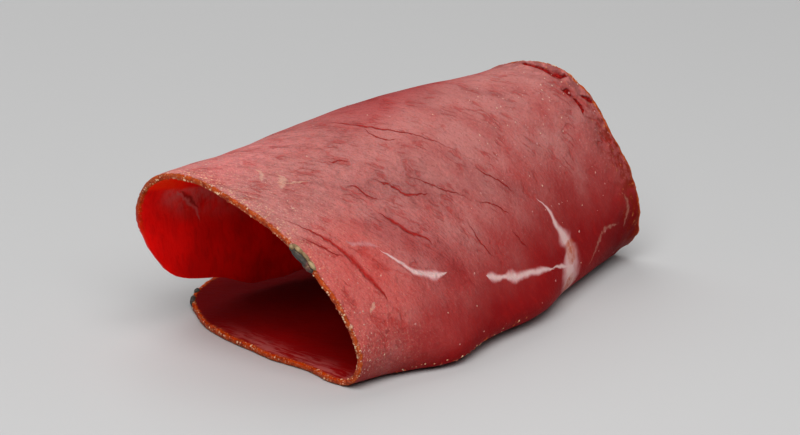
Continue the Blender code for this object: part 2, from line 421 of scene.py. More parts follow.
class HamColours(bpy.types.PropertyGroup):
    meat: colour_property("Meat", "Dry cut face of the lean meat", (0.40, 0.074, 0.068))
    # Also painted sheen: laid on more thickly higher up the roll and just below the fold inside it.
    rosy: colour_property("Rosy meat", "Paler, dusty patches and grains of the cut face", (0.5, 0.175, 0.16))
    flush: colour_property("Flushed meat", "Redder stretch of the lower near front", (0.58, 0.068, 0.056))
    dusky: colour_property("Dusky meat", "Drier, greyer patches of the cut face", (0.25, 0.072, 0.068))
    # Also painted shade: the lower front is darker where less light falls.
    moist_shade: colour_property("Moist meat", "Redder, moist part of the cut face", (0.235, 0.007, 0.008))
    crack: colour_property("Cracks", "Fresh red meat in the cracks of the cut face", (0.36, 0.012, 0.010))
    fat: colour_property("Fat", "Streaks of fat", (0.70, 0.46, 0.44))
    film: colour_property("Thin fat", "Thin edges of the fat, where meat shows through", (0.5, 0.19, 0.19))
    inner: colour_property("Inner meat", "Moist red face inside the roll", (0.88, 0.006, 0.005))
    # Painted glow, standing in for light that shines through the roof's thin edge.
    lit: colour_property("Lit meat", "Inner face of the roof near its edge, lit through", (1.0, 0.020, 0.003))
    # Painted shade in the roll, on the far low corner, in inner creases and gashes; also darker random
    # patches.
    deep_meat_and_shade: colour_property("Deep meat", "Darkest meat inside the roll", (0.10, 0.002, 0.003))
    rind: colour_property("Rind", "Smoked rind along the edge", (0.42, 0.045, 0.002))
    char: colour_property("Charred rind", "Darkest parts of the rind", (0.19, 0.012, 0.003))
    # Also the painted highlight on the rind's outer side.
    toast_and_highlight: colour_property("Toasted rind", "Lighter outer edge of the rind", (0.62, 0.22, 0.07))
    crumb: colour_property("Crumbs", "Crumbs on the rind", (0.78, 0.50, 0.30))
    speck: colour_property("Specks", "Pale specks on the meat", (0.62, 0.35, 0.26))
    pepper: colour_property("Pepper", "Charred pepper crust", (0.050, 0.040, 0.032))
    husk: colour_property("Husks", "Husks of the pepper crust", (0.40, 0.28, 0.14))
    bran: colour_property("Bran", "Darker parts of the husks", (0.20, 0.12, 0.05))


class Wire:
    """A node's output that takes part in Python expressions, each of which adds its Math node."""

    def __init__(self, recipe, socket):
        self.recipe = recipe
        self.socket = socket

    def __add__(self, other):
        return self.recipe.maths("ADD", self, other)

    def __sub__(self, other):
        return self.recipe.maths("SUBTRACT", self, other)

    def __rsub__(self, other):
        return self.recipe.maths("SUBTRACT", other, self)

    def __mul__(self, other):
        return self.recipe.maths("MULTIPLY", self, other)

    def __truediv__(self, other):
        return self.recipe.maths("DIVIDE", self, other)

    def __rtruediv__(self, other):
        return self.recipe.maths("DIVIDE", other, self)

    __radd__ = __add__
    __rmul__ = __mul__

    def __abs__(self):
        return self.recipe.maths("ABSOLUTE", self, 0)

    def most(self, other):
        return self.recipe.maths("MAXIMUM", self, other)

    def between(self, low, high):
        """0 up to one value, 1 from another on, and smooth between them."""
        sockets = {"Value": self, "From Min": low, "From Max": high}
        if low > high:
            sockets = {"Value": self, "From Min": high, "From Max": low, "To Min": 1, "To Max": 0}
        return self.recipe.node("ShaderNodeMapRange", {"interpolation_type": "SMOOTHSTEP"}, sockets)


class Recipe:
    """A material under construction, whose colour is painted on in layers."""

    def __init__(self, name):
        self.material = bpy.data.materials.new(name)
        self.material.use_nodes = True
        self.tree = self.material.node_tree
        self.shader = self.tree.nodes["Principled BSDF"]
        self.colour = None

    def node(self, kind, settings, sockets, output=0):
        """Add a node with its settings, then the values or links of its sockets."""
        made = self.tree.nodes.new(kind)
        for name, value in settings.items():
            if name == "curve":
                self.set_curve(made.mapping, value)
            else:
                setattr(made, name, value)
        for name, value in sockets.items():
            self.feed(made.inputs[name], value)
        return Wire(self, made.outputs[output])

    def set_curve(self, mapping, points):
        """Lay a smooth curve through points whose coordinates run from 0 to 1."""
        curve = mapping.curves[0]
        while len(curve.points) < len(points):
            curve.points.new(1, 1)
        for point, place in zip(curve.points, points):
            point.location = place
        mapping.update()

    def feed(self, socket, value):
        if isinstance(value, Wire):
            self.tree.links.new(value.socket, socket)
        elif socket.type == "RGBA":
            socket.default_value = (*value, 1)
        else:
            socket.default_value = value

    def maths(self, operation, first, second):
        return self.node("ShaderNodeMath", {"operation": operation}, {0: first, 1: second})

    def vector(self, operation, first, second):
        return self.node("ShaderNodeVectorMath", {"operation": operation}, {0: first, 1: second})

    def blend(self, share, first, second, how="MIX"):
        """Mix two colours."""
        settings = {"data_type": "RGBA", "blend_type": how, "clamp_factor": True}
        return self.node("ShaderNodeMix", settings, {0: share, 6: first, 7: second}, 2)

    def paint(self, share, colour, how="MIX"):
        """Lay one more colour over those painted so far."""
        self.colour = self.blend(share, self.colour, colour, how)

    def place(self):
        """The place that noises read: in metres, on the finished object."""
        return self.node("ShaderNodeTexCoord", {}, {}, "Object")

    def noise(self, scale, detail=2, roughness=0.5, place=None, output=0):
        sockets = {"Vector": place or self.place(), "Scale": scale, "Detail": detail, "Roughness": roughness}
        return self.node("ShaderNodeTexNoise", {}, sockets, output)

    def finish(self, roughness, height=None, distance=0, glow=()):
        """Set the shader's own sockets, with a relief if it has a height, and return the material."""
        settings = {"Base Color": self.colour, "Roughness": roughness, **dict(glow)}
        if height:
            sockets = {"Height": height, "Distance": distance, "Strength": 1}
            settings["Normal"] = self.node("ShaderNodeBump", {}, sockets)
        for name, value in settings.items():
            self.feed(self.shader.inputs[name], value)
        return self.material


class SliceRecipe(Recipe):
    """A material of the slice, whose patterns lie on the flat slice, in millimetres."""

    def __init__(self, name, slant=FIBRE_SLANT):
        super().__init__(name)
        self.object_place = super().place()
        self.flat_place = self.attribute(FLAT_PLACE, "Vector")
        parts = self.node("ShaderNodeSeparateXYZ", {}, {0: self.flat_place}).socket.node.outputs
        self.along = Wire(self, parts["X"])
        self.across = Wire(self, parts["Y"])
        self.rim = self.attribute(RIM_DISTANCE, "Fac")
        self.depth = self.attribute(DEPTH, "Fac")
        self.fibres = self.noise(0.9, 3, 0.6, self.along_fibres(self.wander(0.09, 5), 3.5, slant))
        self.pores = self.noise(1.5, 3, 0.75)

    def attribute(self, name, output):
        return self.node("ShaderNodeAttribute", {"attribute_name": name}, {}, output)

    def place(self):
        """The place that noises read: on the flat slice."""
        return self.flat_place

    def moved(self, along, across):
        return self.vector("ADD", self.flat_place, (along, across, 0))

    def wander(self, scale, amount):
        """The flat place moved about by a noise, so that a straight pattern wanders."""
        centred = self.vector("SUBTRACT", self.noise(scale, output="Color"), (0.5, 0.5, 0.5))
        shift = self.node("ShaderNodeVectorMath", {"operation": "SCALE"}, {0: centred, "Scale": amount})
        return self.vector("ADD", self.flat_place, shift)

    def turned(self, place, angle, centre=(0, 0)):
        """Coordinates about a centre, whose X axis lies at an angle to the slice's length."""
        sockets = {"Vector": place, "Location": (*centre, 0), "Rotation": (0, 0, angle)}
        return self.node("ShaderNodeMapping", {"vector_type": "TEXTURE"}, sockets)

    def along_fibres(self, place, stretch, slant=FIBRE_SLANT):
        """Coordinates that run slowly along the meat's fibres."""
        return self.vector("MULTIPLY", self.turned(place, math.radians(slant)), (1 / stretch, 1, 1))

    def streak(self, points, softness, place):
        """1 along the middle of a streak that runs through points of the flat slice, 0 outside it.

        Each point gives a place in millimetres and the streak's half width there. Softness is the share of
        the half width over which the streak fades out.
        """
        start, end = Vector(points[0][:2]), Vector(points[-1][:2])
        direction = (end - start).normalized()
        length = (end - start).length
        path, widths = [], []
        for u, v, half in points:
            offset = Vector((u, v)) - start
            share = offset.dot(direction) / length
            aside = direction.x * offset.y - direction.y * offset.x
            path.append((share, 0.5 + aside / STREAK_SPAN))
            widths.append((share, half / STREAK_SPAN))
        local = self.turned(place, math.atan2(direction.y, direction.x), start)
        parts = self.node("ShaderNodeSeparateXYZ", {}, {0: local}).socket.node.outputs
        along = Wire(self, parts["X"]) / length
        middle = self.node("ShaderNodeFloatCurve", {"curve": path}, {"Value": along})
        width = self.node("ShaderNodeFloatCurve", {"curve": widths}, {"Value": along})
        away = abs(Wire(self, parts["Y"]) / STREAK_SPAN + 0.5 - middle)
        return (away / width.most(STREAK_LEAST_WIDTH)).between(1, 1 - softness)

    def streaks(self, streaks, softness, place):
        """The strongest of several streaks."""
        strongest = self.streak(streaks[0], softness, place)
        for points in streaks[1:]:
            strongest = strongest.most(self.streak(points, softness, place))
        return strongest


def half_width(along, side):
    """Half width of the oval on one side, where along runs from -1 to 1 over the slice's length."""
    if side < 0:
        return NEAR_HALF_WIDTH * (1 + WIDTH_DRIFT * along)
    return FAR_HALF_WIDTH * (1 + WIDTH_DRIFT * along + FAR_WIDTH_FLARE * along**2)


def oval_level(point):
    """Below 1 inside the oval, 1 on its outline and more outside it."""
    along = point.x / HALF_LENGTH
    across = point.y / half_width(along, point.y)
    return abs(along) ** OVAL_POWER + abs(across) ** OVAL_POWER


def line_point(line, across):
    """Point of a slanted line, where across runs from -1 at the near gauge line to 1 at the far one."""
    near, far = line
    return Vector(((near + far) / 2 + (far - near) / 2 * across, GAUGE * across, 0))


def deepest_place(line):
    """The place along a line that lies deepest in the oval."""
    places = [SEARCH_LIMIT * (2 * step / SEARCH_PLACES - 1) for step in range(SEARCH_PLACES + 1)]
    return min(places, key=lambda place: oval_level(line_point(line, place)))


def last_inside(inside, outside, is_inside):
    """The last value on the way from one inside to one outside that is still inside, found by halving."""
    for _ in range(HALVINGS):
        middle = (inside + outside) / 2
        if is_inside(middle):
            inside = middle
        else:
            outside = middle
    return inside


def ragged_edge(point, side):
    """How far the trimmed edge lies outside the smooth oval at one point of it."""
    offset = RAGGED_HEIGHT * noise.noise(Vector((point.x / RAGGED_LENGTH, 5 * side, 0)))
    if side < 0 and point.x < STEP_PLACE + STEP_RUN:
        into_step = min(1, (STEP_PLACE + STEP_RUN - point.x) / STEP_RUN)
        past_step = min(1, max(0, STEP_PLACE - point.x) / STEP_FADE)
        offset -= STEP_DEPTH * into_step * (1 - past_step)
    return offset


def bend_lines():
    """Fold lines of all bends in order, each with the angle it turns by, and the line after the last."""
    creases = []
    near, far = FIRST_BEND_NEAR, FIRST_BEND_FAR
    for near_width, far_width, angle in BENDS:
        count = round(max(angle / BEND_STEP, max(near_width, far_width) / BEND_ROW_SPACING))
        for step in range(count):
            share = (step + 0.5) / count
            creases.append(((near + near_width * share, far + far_width * share), angle / count))
        near += near_width
        far += far_width
    return creases, (near, far)


def flap_reach(start):
    """How far a line can shift along X from the flap's start before it leaves the oval."""

    def still_crosses(shift):
        line = (start[0] + shift, start[1] + shift)
        return oval_level(line_point(line, deepest_place(line))) < 1

    return last_inside(0, HALF_LENGTH, still_crosses)


def row_lines():
    """Lines of all rows of the grid, from the end that lies flat to the end of the flap."""
    creases, flap_start = bend_lines()
    rows = []
    tip = -HALF_LENGTH * FLAT_TIP_SHARE
    for row in range(FLAT_ROWS):
        share = math.cos(row / FLAT_ROWS * math.pi / 2)
        near = FIRST_BEND_NEAR + (tip - FIRST_BEND_NEAR) * share
        far = FIRST_BEND_FAR + (tip - FIRST_BEND_FAR) * share
        rows.append((near, far))
    rows += [line for line, _ in creases]
    reach = flap_reach(flap_start) - FLAP_TIP_GAP
    for row in range(FLAP_ROWS + 1):
        shift = reach * math.sin(row / FLAP_ROWS * math.pi / 2)
        rows.append((flap_start[0] + shift, flap_start[1] + shift))
    return rows


def row_ends(line):
    """Where a row meets the near edge and the far edge of the flat slice."""
    ends = []
    for side in (-1, 1):
        place = last_inside(
            deepest_place(line), side * SEARCH_LIMIT, lambda place: oval_level(line_point(line, place)) < 1
        )
        ends.append(line_point(line, place + side * ragged_edge(line_point(line, place), side) / GAUGE))
    return ends


def clamp(value):
    return min(1, max(0, value))


def hump(value, middle, reach):
    """A smooth hump, 1 at its middle and falling away on both sides."""
    return math.exp(-(((value - middle) / reach) ** 2))


def rising(value, start, full):
    """0 up to a start, 1 from a full value on, and even between them."""
    return clamp((value - start) / (full - start))


def smooth(value):
    """Ease from 0 to 1."""
    value = clamp(value)
    return value * value * (3 - 2 * value)


def deselect_all():
    bpy.ops.object.select_all(action="DESELECT")


def pick(obj, wanted):
    """Select in edit mode the vertices with these numbers and no others."""
    bm = bmesh.from_edit_mesh(obj.data)
    for vertex in bm.verts:
        vertex.select = vertex.index in wanted
    bm.select_flush_mode()
    bmesh.update_edit_mesh(obj.data, loop_triangles=False, destructive=False)


def turn_selected(angle, axis, centre):
    """Turn what is selected about an axis through a centre, against the clock seen from the axis's tip."""
    other = axis.orthogonal().normalized()
    third = axis.cross(other)
    bpy.ops.transform.rotate(
        value=angle,
        orient_axis="Z",
        orient_type="GLOBAL",
        orient_matrix=Matrix((other, third, axis)).transposed(),
        orient_matrix_type="GLOBAL",
        constraint_axis=(False, False, True),
        center_override=centre,
    )


def modify(obj, kind, **settings):
    """Add a modifier with its settings and apply it."""
    modifier = obj.modifiers.new(kind, kind)
    for name, value in settings.items():
        setattr(modifier, name, value)
    deselect_all()
    obj.select_set(True)
    bpy.context.view_layer.objects.active = obj
    bpy.ops.object.modifier_apply(modifier=modifier.name)


def push(obj, amounts, direction):
    """Move every vertex by its own amount along an axis or its normal, by one modifier for each sign."""
    for sign in (1, -1):
        shares = [max(0, sign * amount) for amount in amounts]
        largest = max(shares)
        if largest < TINY:
            continue
        group = obj.vertex_groups.new(name="push")
        for number, share in enumerate(shares):
            if share > 0:
                group.add([number], share / largest, "REPLACE")
        strength = sign * largest
        modify(obj, "DISPLACE", vertex_group=group.name, direction=direction, mid_level=0, strength=strength)
        obj.vertex_groups.clear()


def flat_sheet():
    """The flat slice as a grid: every row is laid along its line and reaches from edge to edge."""
    rows = row_lines()
    deselect_all()
    bpy.ops.mesh.primitive_grid_add(x_subdivisions=len(rows) - 1, y_subdivisions=COLUMNS, size=2 * GAUGE)
    sheet = bpy.context.active_object
    sheet.name = SLICE
    sheet.data.name = SLICE
    bpy.ops.object.mode_set(mode="EDIT")
    for column in range(1, COLUMNS):
        pick(sheet, set(range(column * len(rows), (column + 1) * len(rows))))
        crowding = EDGE_FINENESS * math.sin(2 * math.pi * column / COLUMNS) / (2 * math.pi)
        bpy.ops.transform.translate(value=(0, -crowding * 2 * GAUGE, 0))
    for number, line in enumerate(rows):
        near_point, far_point = row_ends(line)
        reach = far_point - near_point
        middle = Vector((GAUGE * (2 * number / (len(rows) - 1) - 1), 0, 0))
        pick(sheet, set(range(number, len(rows) * (COLUMNS + 1), len(rows))))
        bpy.ops.transform.resize(value=(1, reach.length / (2 * GAUGE), 1), center_override=middle)
        turn_selected(math.atan2(-reach.x, reach.y), Vector((0, 0, 1)), middle)
        bpy.ops.transform.translate(value=(near_point + far_point) / 2 - middle)
    bpy.ops.object.mode_set(mode="OBJECT")
    return sheet, len(rows)


def keep_flat_measures(sheet, row_count):
    """Store on each vertex its place on the flat slice and its distance from the trimmed edge."""
    places = [vertex.co.copy() for vertex in sheet.data.vertices]
    columns = (places[:row_count], places[-row_count:])
    rows = (places[::row_count], places[row_count - 1 :: row_count])
    samples = [
        start.lerp(end, step / RIM_SAMPLES)
        for border in columns + rows
        for start, end in zip(border, border[1:])
        for step in range(RIM_SAMPLES + 1)
    ]
    tree = kdtree.KDTree(len(samples))
    for number, sample in enumerate(samples):
        tree.insert(sample, number)
    tree.balance()
    sheet.data.attributes.new(FLAT_PLACE, "FLOAT_VECTOR", "POINT")
    sheet.data.attributes.new(RIM_DISTANCE, "FLOAT", "POINT")
    flat = sheet.data.attributes[FLAT_PLACE].data
    rim = sheet.data.attributes[RIM_DISTANCE].data
    for number, place in enumerate(places):
        flat[number].vector = place * MILLIMETRES
        rim[number].value = tree.find(place)[2] * MILLIMETRES
    return places


def flat_measures(mesh):
    """The flat places, distances from the trimmed edge and depths that are stored on a mesh's vertices."""
    return [mesh.attributes[name].data for name in (FLAT_PLACE, RIM_DISTANCE, DEPTH)]


def fold(sheet, places):
    """Turn the sheet up about each fold line in turn, from the last one back to the first."""
    creases, _ = bend_lines()
    bpy.ops.object.mode_set(mode="EDIT")
    for line, angle in reversed(creases):
        start = line_point(line, -1)
        axis = (line_point(line, 1) - start).normalized()
        pick(sheet, {number for number, place in enumerate(places) if axis.cross(place - start).z < 0})
        turn_selected(-math.radians(angle), axis, start)
    bpy.ops.mesh.select_all(action="SELECT")
    turn_selected(math.radians(TURN), Vector((0, 0, 1)), Vector())
    bpy.ops.transform.translate(value=(MOVE_X, MOVE_Y, 0))
    bpy.ops.object.mode_set(mode="OBJECT")


def swelling(x, y, z):
    """How far the lower front swells out."""
    humps = [size * hump(y, middle, reach) * clamp(1 - z / top) for middle, reach, size, top in SWELLINGS]
    return rising(x, SWELLING_START_X, SWELLING_FULL_X) * sum(humps)


def crown_rise(_, y, z):
    return RISE * hump(y, RISE_MIDDLE, RISE_REACH) * clamp(z / RISE_FULL_HEIGHT) ** 2


def flap_drop(along, across, _):
    """How far the flap's free end hangs in its waves."""
    waves = sum(depth * hump(across, middle, reach) for middle, reach, depth in FLAP_WAVES)
    return -waves * smooth((along - FLAP_WAVES_FROM) / (FLAP_WAVES_FULL - FLAP_WAVES_FROM))


def far_flare(along, across, _):
    """How far the far end flares out round its top, against the sheet's normals, which point inward."""
    share = hump(across, FLARE_ACROSS, FLARE_ACROSS_REACH) * hump(along, FLARE_ALONG, FLARE_ALONG_REACH)
    return -FLARE * share


def corner_lift(x, y, z):
    """How far the far end lifts off at its lower front."""
    share = hump(y, FAR_END, LIFT_REACH) * clamp(1 - z / LIFT_TOP)
    return LIFT * rising(x, LIFT_START_X, LIFT_FULL_X) * share


def end_tuck(_, y, z):
    """How far the far end's foot is tucked in."""
    return -TUCK * rising(y, TUCK_START_Y, FAR_END) * clamp(1 - z / TUCK_TOP)


def front_lip(x, y, z):
    """How far the front's foot bulges out."""
    share = rising(x, LIFT_START_X, LIFT_FULL_X) * hump(y, LIP_MIDDLE, LIP_REACH)
    return LIP * share * clamp(1 - z / LIFT_TOP)


def shape_roll(sheet, wave_height):
    """Swell the front, raise the crown, wave what stands free, and trim the flap, far end and foot."""

    def wave(x, y, z):
        return wave_height * noise.noise(Vector((x, y, z)) / WAVE_LENGTH) * clamp(z / WAVE_FADE_HEIGHT) ** 2

    def push_by_place(amount, direction):
        push(sheet, [amount(*vertex.co) for vertex in sheet.data.vertices], direction)

    def push_by_flat_place(amount, direction):
        push(sheet, [amount(*entry.vector) for entry in sheet.data.attributes[FLAT_PLACE].data], direction)

    push_by_place(swelling, "X")
    push_by_place(crown_rise, "Z")
    push_by_place(wave, "NORMAL")
    push_by_flat_place(flap_drop, "Z")
    push_by_flat_place(far_flare, "NORMAL")
    push_by_place(corner_lift, "Z")
    push_by_place(end_tuck, "Y")
    push_by_place(front_lip, "X")


def thicken(sheet, thickness):
    """Give the sheet its thickness on the inner side of the roll, and a finer grid with a rounded rim."""
    modify(
        sheet,
        "SOLIDIFY",
        thickness=thickness,
        offset=1,
        use_even_offset=True,
        use_rim=True,
        material_offset=OUTER_SLOT,
        material_offset_rim=RIM_SLOT,
    )
    modify(sheet, "SUBSURF", levels=1, render_levels=1)


def nearness(place, points):
    """How far a flat place is from a streak's middle, in the streak's half widths."""
    nearest = math.inf
    for (x1, y1, half1), (x2, y2, half2) in zip(points, points[1:]):
        start, end = Vector((x1, y1)), Vector((x2, y2))
        share = clamp((place - start).dot(end - start) / (end - start).length_squared)
        away = (place - start.lerp(end, share)).length
        nearest = min(nearest, away / (half1 + (half2 - half1) * share))
    return nearest


def gash_relief(place):
    """How far a gash dents the outer face at a flat place, or its raised lips stand proud, in metres."""
    if abs(place.x - GASHES_MIDDLE[0]) > GASHES_REACH or abs(place.y - GASHES_MIDDLE[1]) > GASHES_REACH:
        return 0
    closest = min(nearness(place, points) for points in GASHES)
    lip = GASH_LIP * hump(closest, GASH_LIP_PLACE, GASH_LIP_REACH)
    return lip - GASH_DEPTH * (1 - smooth(closest / GASH_EDGE))


def roughen(sheet, sizes):
    """Make the surface slightly uneven, dent the gashes and make the rind along its edge crumbly."""
    flat, rim, depth = flat_measures(sheet.data)
    crumbly_width = RIND_LUMPS_REACH * sizes.rind_width * MILLIMETRES
    amounts = []
    for vertex, flat_entry, rim_entry, depth_entry in zip(sheet.data.vertices, flat, rim, depth):
        place = vertex.co * MILLIMETRES
        amount = sizes.grain_height * noise.noise(place / GRAIN_LENGTH)
        lumps = sum(height * noise.noise(place / size) for height, size in RIND_LUMPS) - RIND_SHRINKAGE
        amount += (1 - smooth(rim_entry.value / crumbly_width)) * lumps
        if depth_entry.value < 0.5:
            far = smooth((flat_entry.vector.y - FAR_LUMPS_FROM) / FAR_LUMPS_RUN)
            far_lumps = FAR_LUMPS * noise.noise(place / FAR_LUMPS_LENGTH) * far
            amount += gash_relief(flat_entry.vector.xy) + far_lumps
        amounts.append(amount)
    push(sheet, amounts, "NORMAL")
    push(sheet, [max(0, -vertex.co.z) for vertex in sheet.data.vertices], "Z")


def keep_depth(sheet):
    """Store on each vertex its depth in the slice, from the face that it belongs to."""
    sides = {INNER_SLOT: set(), OUTER_SLOT: set()}
    for face in sheet.data.polygons:
        if face.material_index in sides:
            sides[face.material_index].update(face.vertices)
    depth = sheet.data.attributes.new(DEPTH, "FLOAT", "POINT").data
    for number, entry in enumerate(depth):
        entry.value = (1 + (number in sides[INNER_SLOT]) - (number in sides[OUTER_SLOT])) / 2


def rind_mask(meat, width):
    """1 on the rind at the trimmed edge and 0 on the meat, with an uneven border."""
    uneven = (meat.noise(900, 3, 0.6, meat.object_place) - 0.5) * 1.2
    distance = meat.rim + uneven - meat.across.between(30, 44) * 0.3
    return distance.between(width * 1.15, width * 0.45) * meat.along.between(RIND_FADES_TO, RIND_FADES_FROM)


def rind_colour(meat, colours):
    """Toasted and painted highlight towards the outer face, orange and charred in the middle, with pale
    grains.
    """
    coarse = meat.noise(700, 3, 0.6, meat.object_place)
    grains = meat.noise(2600, 2, 0.6, meat.object_place).between(0.56, 0.66)
    lit_outer_side = (meat.depth + (coarse - 0.5) * 0.8).between(0.5, 0)
    charred = meat.blend(coarse.between(0.46, 0.66) * 0.8, colours.rind, colours.char)
    toasted_and_lit = meat.blend(lit_outer_side * 0.12, charred, colours.toast_and_highlight)
    return meat.blend(grains * 0.3, toasted_and_lit, colours.crumb)


def dustiness_and_sheen(meat):
    """1 on the dry top with its painted sheen, falling to 0 on the wet lower front with its painted shade."""
    ends = meat.across.between(-18, -36) * 5 + meat.across.between(28, 44) * 5.5
    return (meat.along + ends + (meat.noise(0.11, 3, 0.55) - 0.5) * 12).between(-15, 5)


def paint_dry_face(meat, colours):
    """Rosy and dusky by turns, more rosy higher up as painted sheen, with a fine grain."""
    mottle = meat.noise(0.10, 4, 0.6)
    blush = meat.noise(0.13, 3, 0.5, meat.moved(40, 7))
    bands = meat.streaks(DUSKY_BANDS, 0.9, meat.wander(0.12, 9))
    painted_sheen = meat.along.between(-8, 22) * 0.32
    meat.colour = colours.meat
    meat.paint((blush + painted_sheen).between(0.38, 0.88), colours.rosy)
    meat.paint((mottle + bands * 0.18).between(0.42, 0.92) * 0.6, colours.dusky)
    meat.paint(meat.fibres.between(0.50, 0.66) * 0.2, colours.dusky)
    meat.paint(meat.pores.between(0.52, 0.68) * 0.5, colours.rosy)
    meat.paint(meat.pores.between(0.48, 0.34) * 0.4, colours.dusky)


def paint_dust(meat, colours):
    """Pale flour over the near part, and crumbs close to its edge."""
    near_edge = meat.rim.between(26, 1) * meat.across.between(10, -25)
    meat.paint(meat.noise(1.9, 3, 0.75).between(0.55, 0.66) * near_edge * 0.8, colours.speck)
    crumbs = meat.noise(2.4, 2, 0.7).between(0.54, 0.62) * meat.across.between(5, -12)
    crumbs *= meat.rim.between(5, 0.5) * (0.3 + meat.along.between(0, 20) * 0.7)
    crumbs *= 0.15 + meat.noise(0.4, 2, 0.6).between(0.42, 0.60) * 0.85
    meat.paint(crumbs, colours.crumb)


def paint_shades(meat, colours, near_part):
    """Painted shade in blotches, bands and on the crown, painted light at its near end, and a redder front.
    """
    blotches = meat.noise(0.55, 4, 0.7, meat.moved(3, 21)).between(0.46, 0.62)
    blotches *= near_part * meat.along.between(4, 14) * 0.35
    bands = meat.streaks(SHADED_BANDS, 0.9, meat.wander(0.2, 4))
    meat.paint(blotches.most(bands * 0.25), SHADE, "MULTIPLY")
    crown = meat.across.between(-14, 10) * meat.along.between(20, 29)
    meat.paint(crown.most(bands * 0.6), CROWN_SHADE, "MULTIPLY")
    near_crown = meat.across.between(-4, -16) * meat.along.between(31, 40)
    meat.paint(near_crown * 0.85, CROWN_LIGHT, "MULTIPLY")
    front = meat.along.between(-8, 2) * meat.along.between(24, 12)
    meat.paint(front * meat.across.between(-18, -27) * 0.5, colours.flush)


def paint_far_band(meat, colours):
    """Painted shade on the far low corner; dark patches and tan flecks in the band along the far edge."""
    shaded_low_corner = meat.along.between(-15, -24) * meat.across.between(30, 45)
    meat.paint(shaded_low_corner * 0.75, colours.deep_meat_and_shade)
    band = meat.rim.between(8, 1) * meat.across.between(28, 40)
    dulled = meat.blend(meat.along.between(-4, 6), colours.char, colours.dusky)
    meat.paint(meat.noise(0.55, 3, 0.65).between(0.42, 0.58) * band * 0.85, dulled)
    flecks = meat.noise(0.9, 3, 0.7, meat.moved(9, 5)).between(0.60, 0.70)
    meat.paint(flecks * band * 0.7, colours.toast_and_highlight)


def paint_cracks(meat, colours, dust_and_sheen):
    """Wrinkles, cracks and gashes, with painted shade in the gashes. What is returned says how far they sink
    in.
    """
    hills = meat.noise(0.5, 2, 0.55, meat.along_fibres(meat.wander(0.3, 2.5), 5))
    wrinkles = abs(hills - 0.5).between(0.07, 0) * meat.noise(0.2, 1).between(0.52, 0.60) * dust_and_sheen
    wandering = meat.wander(0.7, 1.2)
    cracks = meat.streaks(CRACKS, 0.9, wandering) * (meat.pores + meat.fibres).between(0.70, 0.95)
    gashes = meat.streaks(GASHES, 0.6, wandering)
    sore = meat.streaks(TORN_BANDS, 1, wandering) * meat.fibres.between(0.35, 0.60)
    for share in (wrinkles * 0.4, cracks * 0.9, sore * 0.6):
        meat.paint(share, colours.crack)
    # The gashes' middles are darker, partly as torn meat and partly as painted shade in the hollow.
    torn_and_shaded = meat.blend(0.25 + meat.pores.between(0.40, 0.60) * 0.6, colours.deep_meat_and_shade, colours.crack)
    meat.paint(gashes, torn_and_shaded)
    return cracks * 0.6 + gashes * 0.6 + wrinkles * 0.25


def paint_fat(meat, colours):
    """Streaks of fat: bright in their middle, thin at their edges, smoked in places."""
    wandering = meat.wander(0.35, 0.9)
    streaks = meat.streaks(FAT_STREAKS, 1, wandering)
    body = streaks + (meat.noise(0.6) - 0.5) * 0.6 * streaks.between(0, 0.35)
    meat.paint(body.between(0, 0.55) * 0.9, colours.film)
    meat.paint(body.between(0.35, 1.05) * 0.9, colours.fat)
    meat.paint(meat.streaks(VEINS, 1, wandering) * 0.8, colours.film)
    smoky = meat.streaks(SMOKED_FAT, 1, wandering) * (0.5 + meat.noise(0.9).between(0.40, 0.62) * 0.4)
    meat.paint(smoky, meat.blend(0.35, colours.crack, colours.toast_and_highlight))


def paint_marks(meat, colours):
    """Pale dry marks on the near part and tan ones near the far edge, both broken by the pores."""
    feathery = meat.wander(0.9, 0.9)
    for streaks, broken, start, full, strength in MARKS:
        marks = meat.streaks(streaks, 1, feathery)
        marks += (meat.pores - 0.5) * marks.between(0, 0.3) * broken
        meat.paint(marks.between(start, full) * strength, colours.speck)


def outer_meat(colours, sizes):
    """The dry cut face that shows on the outside of the roll."""
    meat = SliceRecipe("outer_meat")
    dust_and_sheen = dustiness_and_sheen(meat)
    near_part = meat.across.between(14, -14) * dust_and_sheen
    paint_dry_face(meat, colours)
    paint_dust(meat, colours)
    paint_shades(meat, colours, near_part)
    # Painted shade: the wet lower front takes this darker colour, partly as wet meat and partly as shade.
    moist_shade = meat.blend(meat.fibres.between(0.45, 0.7) * 0.3, colours.moist_shade, colours.crack)
    meat.colour = meat.blend(dust_and_sheen, moist_shade, meat.colour)
    paint_far_band(meat, colours)
    hollows = paint_cracks(meat, colours, dust_and_sheen)
    paint_fat(meat, colours)
    paint_marks(meat, colours)
    skin = rind_mask(meat, sizes.rind_width * MILLIMETRES * 0.55)
    meat.paint(skin, rind_colour(meat, colours))
    puckers = meat.noise(0.5, 3, 0.6, meat.along_fibres(meat.flat_place, 1.8)) * near_part * 2
    relief = (meat.fibres * 0.6 + meat.pores * 0.5) * (0.3 + dust_and_sheen * 0.7) + puckers
    roughness = 0.5 + dust_and_sheen * 0.15 - meat.fibres * 0.12 + skin * 0.15
    return meat.finish(roughness, relief - hollows + skin * 0.3, 0.0007, OUTER_GLOW)


def paint_inner_base(meat, colours):
    """Bright see-through red in roof and flap of the roll, dark red painted shade on the flat layer and far
    roof.
    """
    shaded_flat_layer = meat.along.between(2, -14) * 0.80 + meat.along.between(-34, -56) * 0.18
    roof = meat.across.between(-26, 6) * 0.19 + meat.along.between(56, 59) * 0.05
    dark = meat.noise(0.09, 3).between(0.42, 0.64) * 0.18 + meat.fibres.between(0.46, 0.66) * 0.12
    meat.colour = colours.inner
    meat.paint(shaded_flat_layer.most(roof) + dark * (1 - shaded_flat_layer), colours.deep_meat_and_shade)


